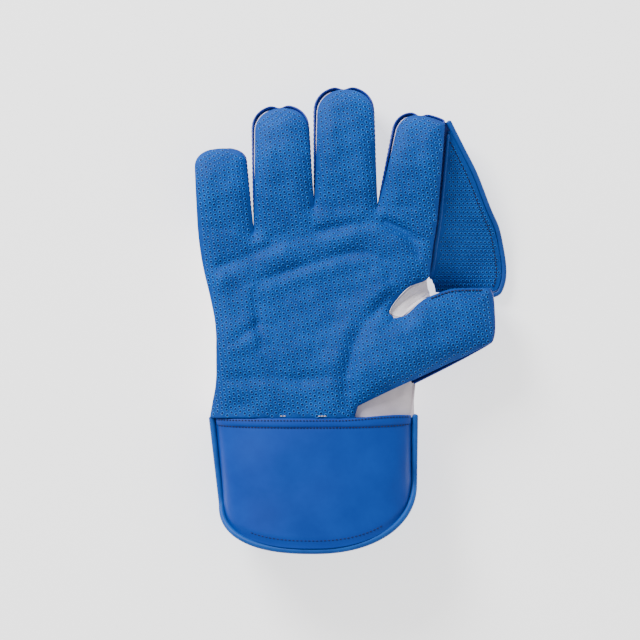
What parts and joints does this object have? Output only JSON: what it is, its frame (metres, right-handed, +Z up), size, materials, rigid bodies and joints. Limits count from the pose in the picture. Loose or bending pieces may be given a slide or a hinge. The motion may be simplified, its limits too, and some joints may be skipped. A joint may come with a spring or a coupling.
{
  "type": "wicketkeeping glove",
  "caption": "Padded glove with a pimpled rubber palm, finger and thumb stalls, webbing between index finger and thumb, and a flared cuff.",
  "frame": {"origin": "middle of the footprint, on the surface that the glove lies on", "axes": "+Z up out of the palm, +Y towards the fingertips, +X towards the thumb"},
  "size_m": [0.2146, 0.318, 0.0641],
  "materials": {
    "pimple_rubber": "matt pimpled rubber facing, blue",
    "blue_leather": "smooth blue leather with a soft sheen",
    "white_leather": "soft matt white leather",
    "cuff_leather": "smooth padded blue leather",
    "piping_leather": "smooth rolled blue leather"
  },
  "bodies": {
    "root": {"palm_facing": "pimple_rubber", "hand_back": "white_leather", "little_stall": "blue_leather", "ring_stall": "blue_leather", "middle_stall": "blue_leather", "index_stall": "blue_leather", "thumb_stall": "blue_leather", "wrist_gusset": "white_leather", "crotch_gusset": "white_leather", "web_panel": "pimple_rubber", "web_binding": "blue_leather", "web_welt": "blue_leather", "web_strip": "blue_leather", "cuff_front": "cuff_leather", "cuff_back": "cuff_leather", "cuff_band": "cuff_leather", "cuff_front_piping": "piping_leather", "cuff_back_piping": "piping_leather"}
  },
  "joints": []
}
